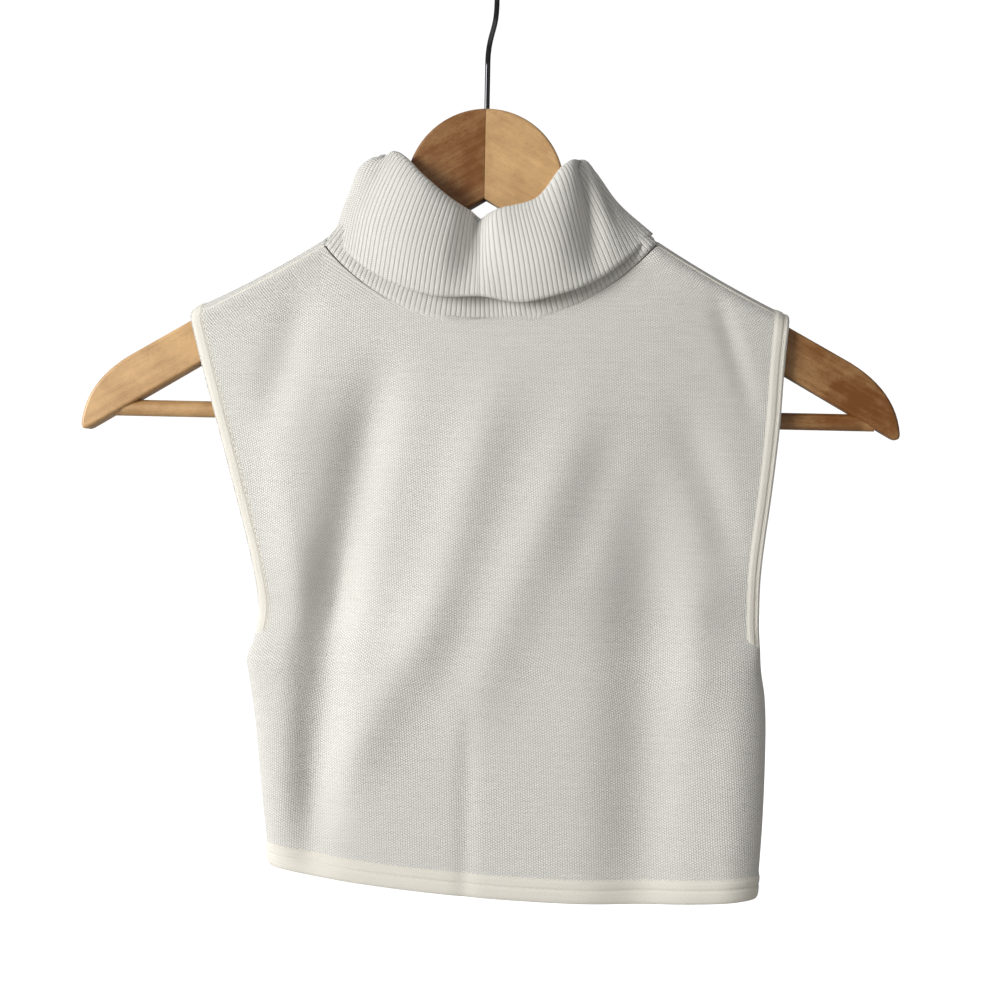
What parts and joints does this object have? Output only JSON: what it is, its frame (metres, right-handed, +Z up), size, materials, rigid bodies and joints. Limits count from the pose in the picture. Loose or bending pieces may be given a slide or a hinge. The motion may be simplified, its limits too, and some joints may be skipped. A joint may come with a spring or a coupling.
{
  "type": "turtleneck dickey on a clothes hanger",
  "caption": "Sleeveless knit turtleneck dickey with a folded rib collar, bound armholes and a turned hem, hanging on a wooden clothes hanger with a wire hook",
  "frame": {"origin": "inner top of the hook's crook, where the hook rests on its rail", "axes": "+Z up, the front faces -Y, +X is on the viewer's right"},
  "size_m": [0.444, 0.0638, 0.512],
  "materials": {
    "knit": "fine cream knit, matt",
    "rib_knit": "cream rib knit, matt",
    "hem_knit": "doubled cream knit, stitched",
    "light_wood": "varnished light wood",
    "dark_wood": "varnished brown wood",
    "hook_metal": "polished chrome wire"
  },
  "bodies": {
    "root": {"front_panel": "knit", "back_panel": "knit", "collar": "rib_knit", "hem_band": "hem_knit", "armhole_band_left": "hem_knit", "armhole_band_right": "hem_knit", "hanger_arm_left": "light_wood", "hanger_arm_right": "dark_wood", "hanger_bar": "dark_wood", "hanger_hook": "hook_metal"}
  },
  "joints": []
}
